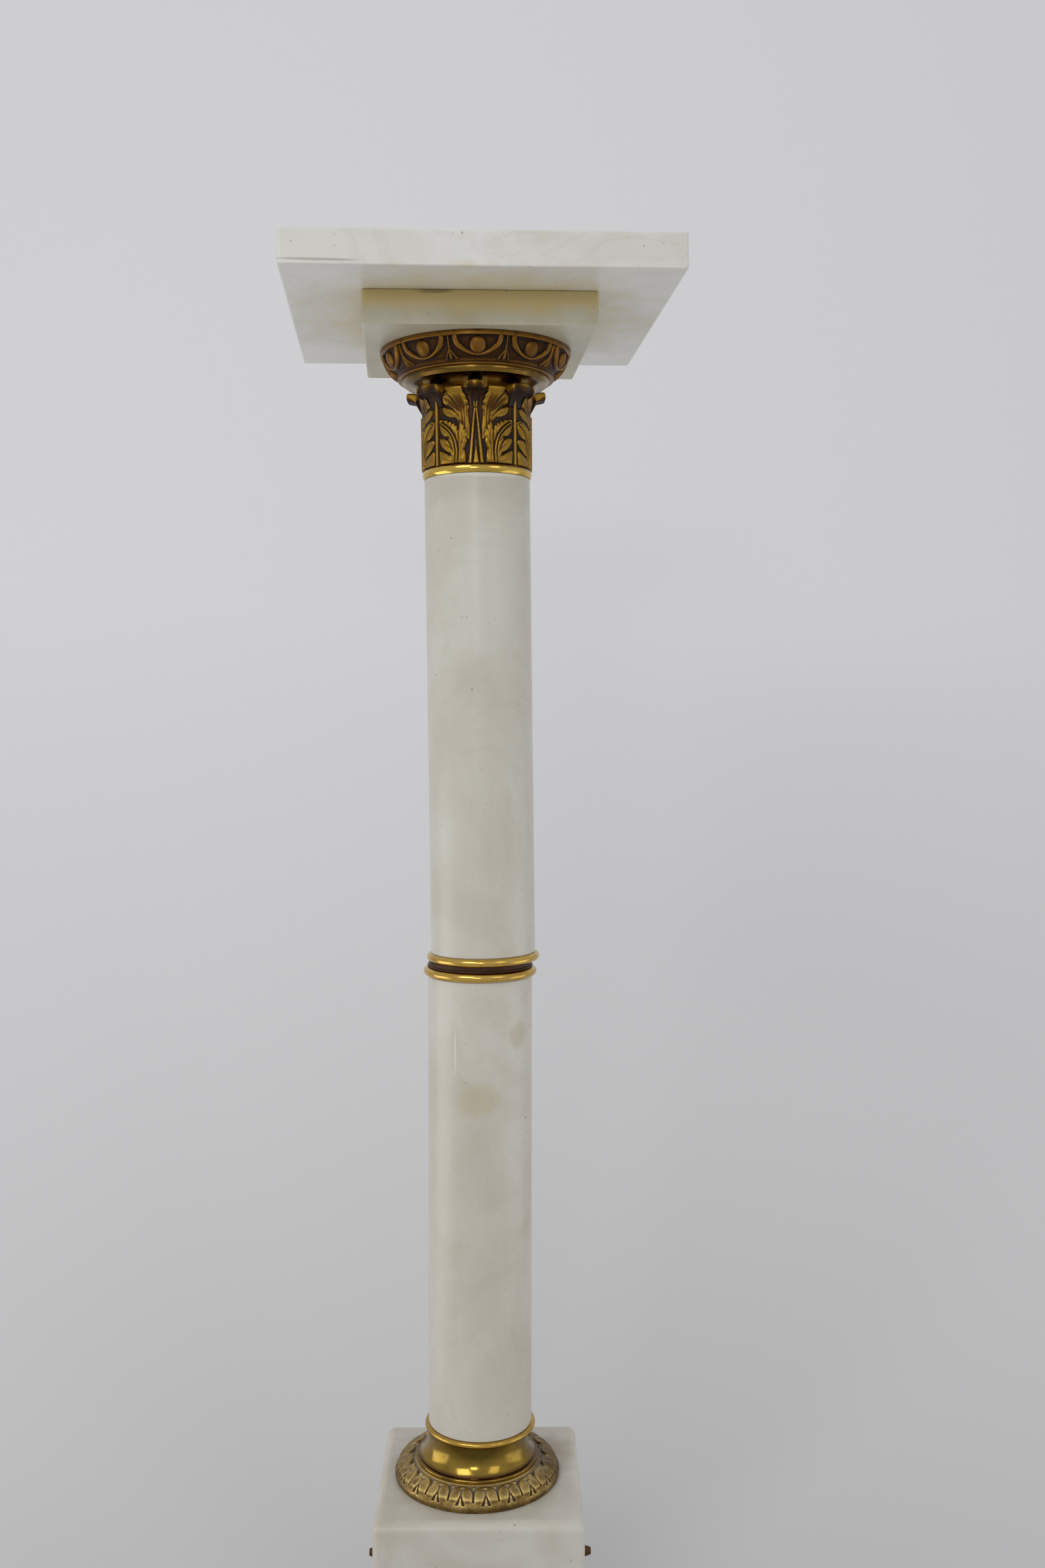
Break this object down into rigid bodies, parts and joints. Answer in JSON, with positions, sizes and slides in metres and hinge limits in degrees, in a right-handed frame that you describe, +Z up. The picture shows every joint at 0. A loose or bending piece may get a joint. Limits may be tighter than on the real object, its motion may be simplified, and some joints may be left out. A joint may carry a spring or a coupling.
{
  "type": "pedestal column",
  "caption": "Tall onyx pedestal column with gilt bronze mounts: square top slab, leaf capital, two-drum shaft, ringed base and square block on a foot slab",
  "frame": {"origin": "centre of the foot slab's underside, on the axis of the block and the lower drum", "axes": "+Z up along the lower drum, -Y to the front and +X to the right, square with the block"},
  "size_m": [0.3072, 0.307, 1.1291],
  "materials": {
    "onyx": "polished",
    "polished_bronze": "polished",
    "cast_bronze": "gilt, worn",
    "dark_bronze": "dark patina",
    "iron": "plain"
  },
  "bodies": {
    "root": {"plinth_slab": "onyx", "plinth_block": "onyx", "lower_shaft": "onyx", "upper_shaft": "onyx", "abacus_slab": "onyx", "top_slab": "onyx", "base_scotia": "polished_bronze", "base_bead_ring": "polished_bronze", "lower_joint_ring": "polished_bronze", "upper_joint_ring": "polished_bronze", "capital_collar": "polished_bronze", "capital_bell": "polished_bronze", "base_leaf_ring": "cast_bronze", "acanthus_basket": "cast_bronze", "egg_and_dart_ring": "cast_bronze", "joint_neck": "dark_bronze", "plinth_boss_front": "dark_bronze", "plinth_boss_right": "dark_bronze", "plinth_boss_back": "dark_bronze", "plinth_boss_left": "dark_bronze", "tie_rod": "iron", "top_washer": "iron", "top_nut": "iron", "bottom_washer": "iron", "bottom_nut": "iron"}
  },
  "joints": []
}
